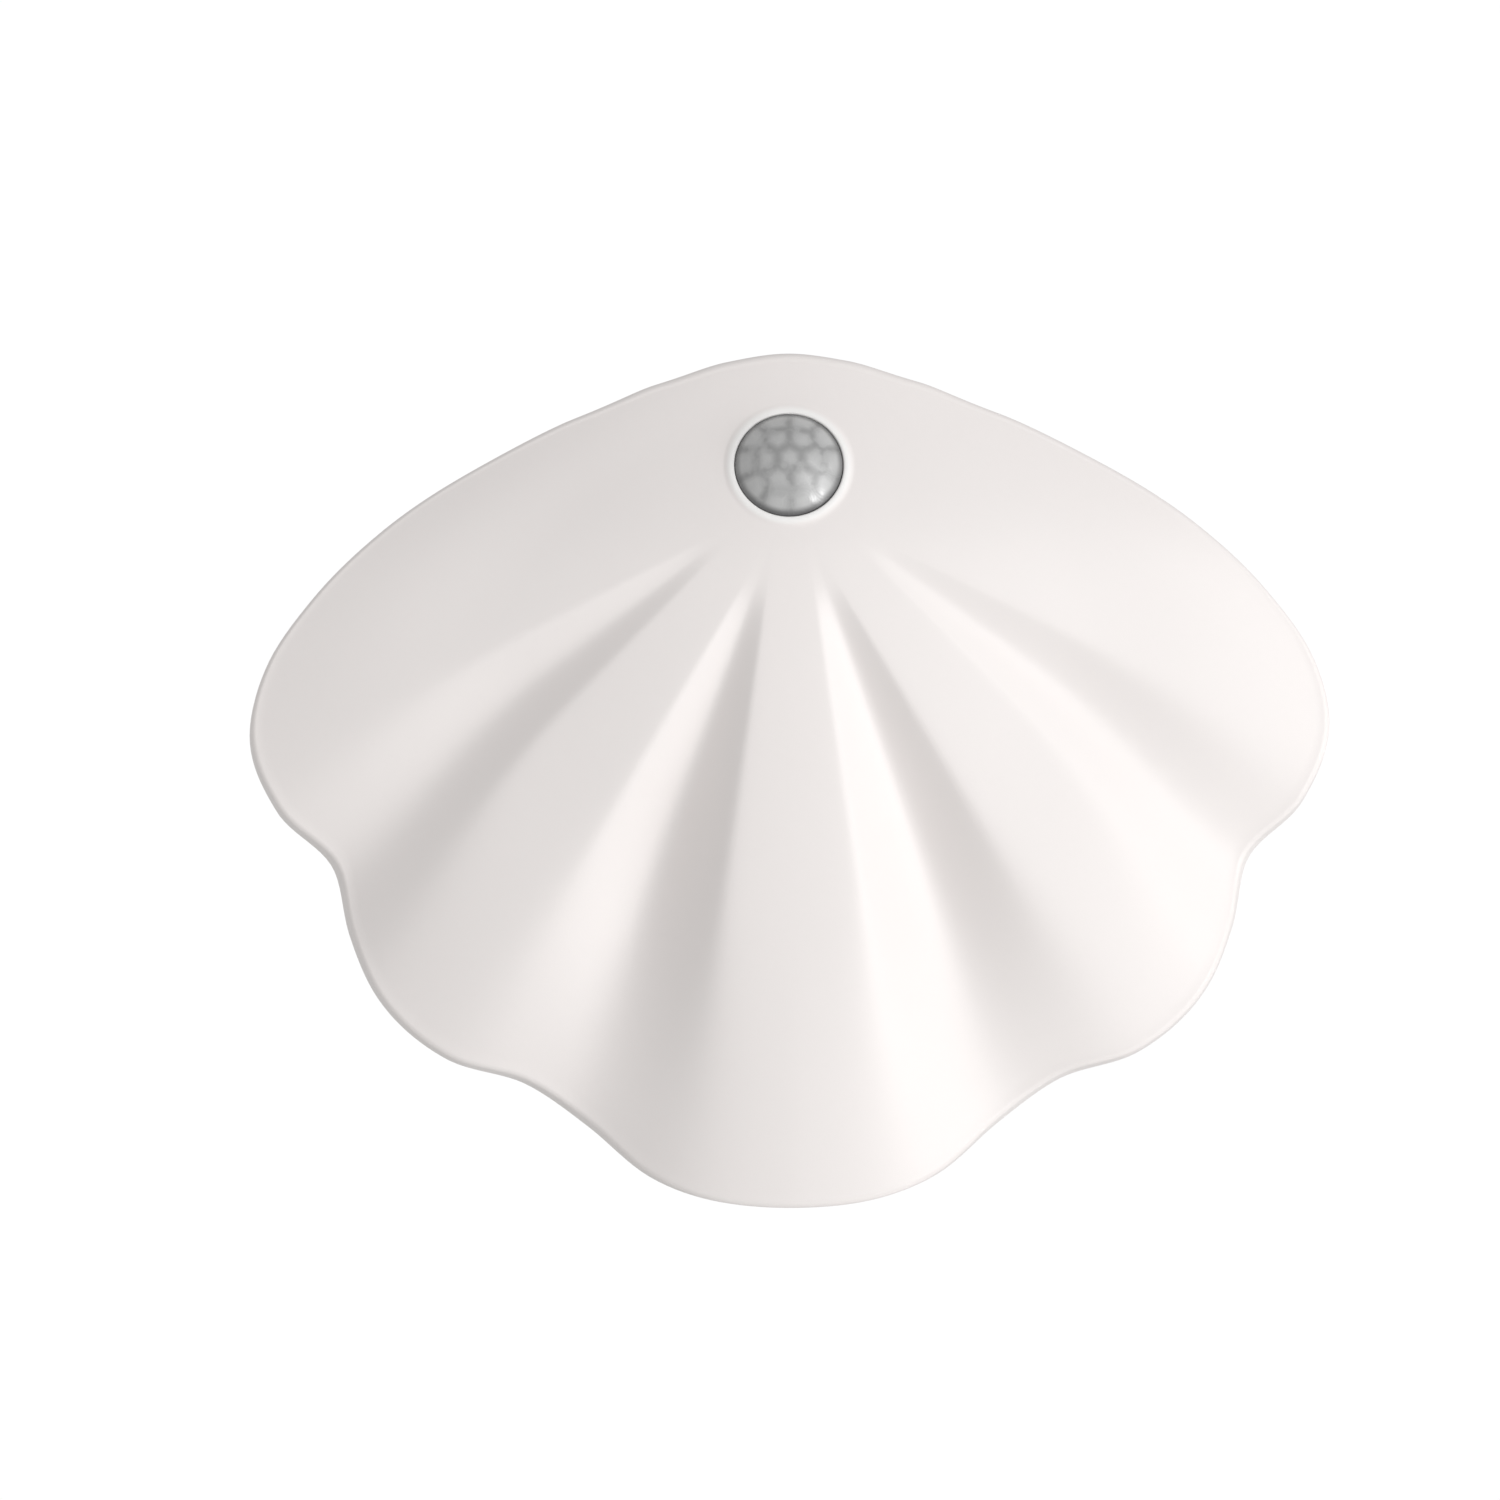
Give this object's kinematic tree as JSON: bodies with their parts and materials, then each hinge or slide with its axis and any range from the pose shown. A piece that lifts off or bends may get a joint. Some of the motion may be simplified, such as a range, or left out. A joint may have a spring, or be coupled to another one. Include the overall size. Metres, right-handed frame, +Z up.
{
  "type": "motion sensor wall light",
  "caption": "Battery wall light with a pleated scallop-shell shade, a domed motion sensor lens near its crown and a magnetic wall plate that it lifts off.",
  "frame": {"origin": "centre of the wall plate's mounting face, on the wall plane", "axes": "+Y points into the wall and -Y into the room, +Z is up, +X is to the right of someone who faces the light"},
  "size_m": [0.1606, 0.0354, 0.127],
  "materials": {
    "shade_plastic": "warm white satin moulding with a very fine spark texture",
    "lens_plastic": "grey translucent lens with moulded facets",
    "housing_plastic": "matte white moulding",
    "milky_diffuser": "milky translucent sheet",
    "adhesive_foam": "closed-cell foam tape",
    "plated_steel": "nickel plated",
    "screw_steel": "zinc plated",
    "sensor_can": "bright plated can",
    "dark_filter": "dark infrared filter",
    "clear_resin": "clear resin",
    "magnet_plating": "nickel plated",
    "soft_silicone": "matte silicone",
    "circuit_board": "green solder mask on glass fibre",
    "white_board": "white solder mask",
    "light_package": "white frame with yellow phosphor",
    "chip_resin": "black moulding resin",
    "capacitor_can": "satin can",
    "cell_pouch": "foil pouch",
    "connector_plastic": "ivory nylon",
    "wire_sleeve": "soft sleeve",
    "knob_plastic": "dark grey moulding"
  },
  "bodies": {
    "wall_base": {"adhesive_pad": "adhesive_foam", "wall_plate": "plated_steel"},
    "lamp": {"shell_cover": "shade_plastic", "pir_lens": "lens_plastic", "lens_retainer": "housing_plastic", "retainer_screws": "screw_steel", "pir_board": "circuit_board", "pir_sensor": "sensor_can", "pir_window": "dark_filter", "light_sensor": "clear_resin", "sensor_leads": "wire_sleeve", "rear_housing": "housing_plastic", "rear_cover": "housing_plastic", "cover_screws": "screw_steel", "shell_screws": "screw_steel", "wall_feet": "soft_silicone", "magnets": "magnet_plating", "diffuser_left": "milky_diffuser", "diffuser_right": "milky_diffuser", "led_board_left": "white_board", "led_board_right": "white_board", "led_packages_left": "light_package", "led_packages_right": "light_package", "led_leads": "wire_sleeve", "main_board": "circuit_board", "board_screws": "screw_steel", "control_chip": "chip_resin", "power_inductor": "chip_resin", "board_capacitors": "capacitor_can", "battery_cell": "cell_pouch", "battery_tape": "adhesive_foam", "battery_header": "connector_plastic", "battery_leads": "wire_sleeve", "usb_socket": "plated_steel", "usb_tongue": "chip_resin", "switch_body": "plated_steel", "charge_led": "clear_resin", "charge_light_pipe": "clear_resin"},
    "switch": {"switch_knob": "knob_plastic"}
  },
  "joints": [
    {"name": "lamp_pull_off", "type": "slide", "parent": "wall_base", "child": "lamp", "axis": [0, -1, 0], "range_m": [0, 0.04]},
    {"name": "switch_slide", "type": "slide", "parent": "lamp", "child": "switch", "axis": [1, 0, 0], "range_m": [-0.002, 0.002]}
  ]
}
